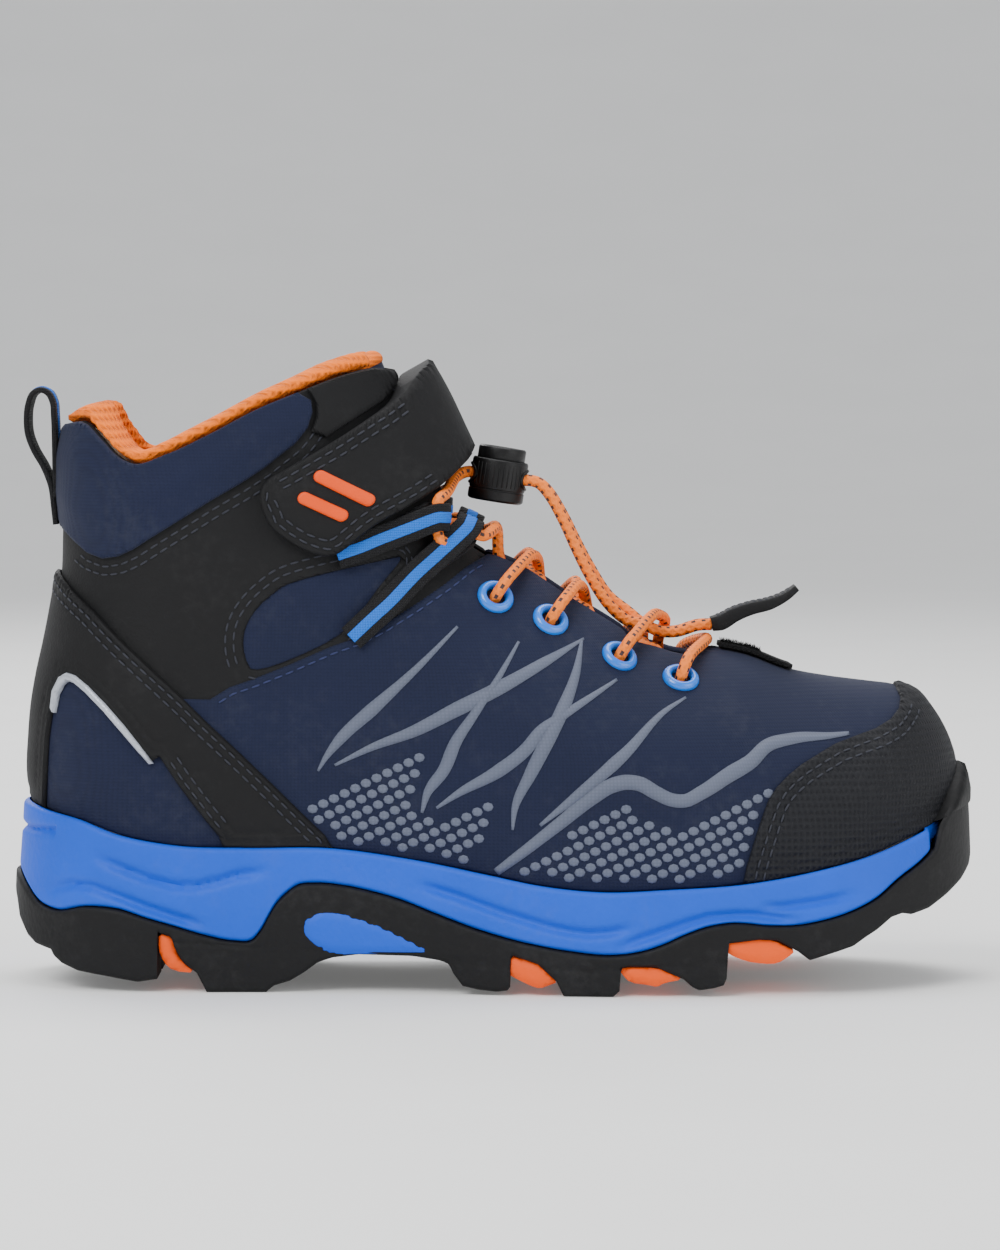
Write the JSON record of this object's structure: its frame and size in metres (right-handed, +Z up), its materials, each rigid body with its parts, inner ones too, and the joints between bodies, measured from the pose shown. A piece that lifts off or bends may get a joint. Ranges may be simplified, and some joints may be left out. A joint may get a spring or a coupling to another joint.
{
  "type": "hiking boot",
  "caption": "Child's navy and black mid-height hiking boot with orange toggle laces, ankle strap and lugged sole.",
  "frame": {"origin": "middle of the sole on the ground", "axes": "+X to the toe, +Y to the wearer's inner side (a right boot), +Z up"},
  "size_m": [0.23, 0.0922, 0.151],
  "materials": {
    "navy_fabric": "woven, matt",
    "black_synthetic": "matt, fine grain",
    "ripstop_toe": "coated ripstop, satin",
    "blue_foam": "moulded foam, matt",
    "dark_rubber": "matt",
    "orange_rubber": "matt",
    "orange_mesh": "knitted mesh",
    "board": "pressed fibre",
    "insole_foam": "cloth over foam",
    "stiffener": "matt",
    "cream_foam": "open foam",
    "silver_piping": "reflective film",
    "blue_gloss": "gloss",
    "blue_webbing": "woven webbing",
    "orange_cord": "braided, dark flecks",
    "black_webbing": "woven webbing",
    "lock_plastic": "fine spark finish",
    "spring_steel": "drawn",
    "bar_orange": "raised print",
    "hook_tape": "hook tape"
  },
  "bodies": {
    "upper": {"outsole": "dark_rubber", "midsole": "blue_foam", "arch_window_lateral": "blue_foam", "arch_window_medial": "blue_foam", "tread_insert_1": "orange_rubber", "tread_insert_2": "orange_rubber", "tread_insert_3": "orange_rubber", "tread_insert_4": "orange_rubber", "insole_board": "board", "insole": "insole_foam", "vamp": "navy_fabric", "heel_side": "navy_fabric", "ankle_inset_lateral": "navy_fabric", "ankle_inset_medial": "navy_fabric", "collar_panel_lateral": "navy_fabric", "collar_panel_medial": "navy_fabric", "tongue_shell": "navy_fabric", "quarter_lateral": "black_synthetic", "quarter_medial": "black_synthetic", "heel_band": "black_synthetic", "collar_trim_lateral": "black_synthetic", "collar_trim_medial": "black_synthetic", "strap_root": "black_synthetic", "tab_base_strip": "black_synthetic", "toe_cap": "ripstop_toe", "piping_lateral": "silver_piping", "piping_medial": "silver_piping", "heel_counter": "stiffener", "toe_puff": "stiffener", "lining": "orange_mesh", "tongue_padding": "orange_mesh", "collar_foam": "cream_foam", "lace_loop_upper_lateral": "blue_webbing", "lace_loop_upper_medial": "blue_webbing", "lace_loop_lower_lateral": "blue_webbing", "lace_loop_lower_medial": "blue_webbing", "eyelet_lateral_1": "blue_gloss", "eyelet_lateral_2": "blue_gloss", "eyelet_lateral_3": "blue_gloss", "eyelet_lateral_4": "blue_gloss", "eyelet_medial_1": "blue_gloss", "eyelet_medial_2": "blue_gloss", "eyelet_medial_3": "blue_gloss", "eyelet_medial_4": "blue_gloss", "lace_laced": "orange_cord", "lace_free_lateral": "orange_cord", "lace_free_medial": "orange_cord", "heel_pull_loop": "black_webbing"},
    "strap": {"strap_front": "black_synthetic"},
    "strap_tip": {"strap_tip": "black_synthetic", "strap_hook_patch": "hook_tape", "strap_bar_upper": "bar_orange", "strap_bar_lower": "bar_orange"},
    "cord_lock": {"cord_lock_barrel": "lock_plastic", "cord_lock_spring": "spring_steel"},
    "cord_lock_button": {"cord_lock_button": "lock_plastic"},
    "lace_end_tab": {"lace_end_tab": "black_synthetic"}
  },
  "joints": [
    {"name": "strap_open", "type": "hinge", "parent": "upper", "child": "strap", "pos_m": [-0.03197, 0.03492, 0.123], "axis": [-0.6599, 0.087, 0.7463], "range_deg": [0, 80]},
    {"name": "strap_tip_peel", "type": "hinge", "parent": "strap", "child": "strap_tip", "pos_m": [-0.02325, -0.02834, 0.12876], "axis": [-0.55, -0.073, 0.832], "range_deg": [0, 95]},
    {"name": "cord_lock_slide", "type": "slide", "parent": "upper", "child": "cord_lock", "axis": [0.988, 0, -0.1544], "range_m": [0, 0.003]},
    {"name": "cord_lock_press", "type": "slide", "parent": "cord_lock", "child": "cord_lock_button", "axis": [-0.1544, 0, -0.988], "range_m": [0, 0.0016], "stiffness_N_per_m": 500, "deforming": ["cord_lock_spring"]},
    {"name": "tab_swing", "type": "hinge", "parent": "upper", "child": "lace_end_tab", "pos_m": [0.05209, 0.00072, 0.086], "axis": [0, -1, 0], "range_deg": [-15, 24]}
  ]
}
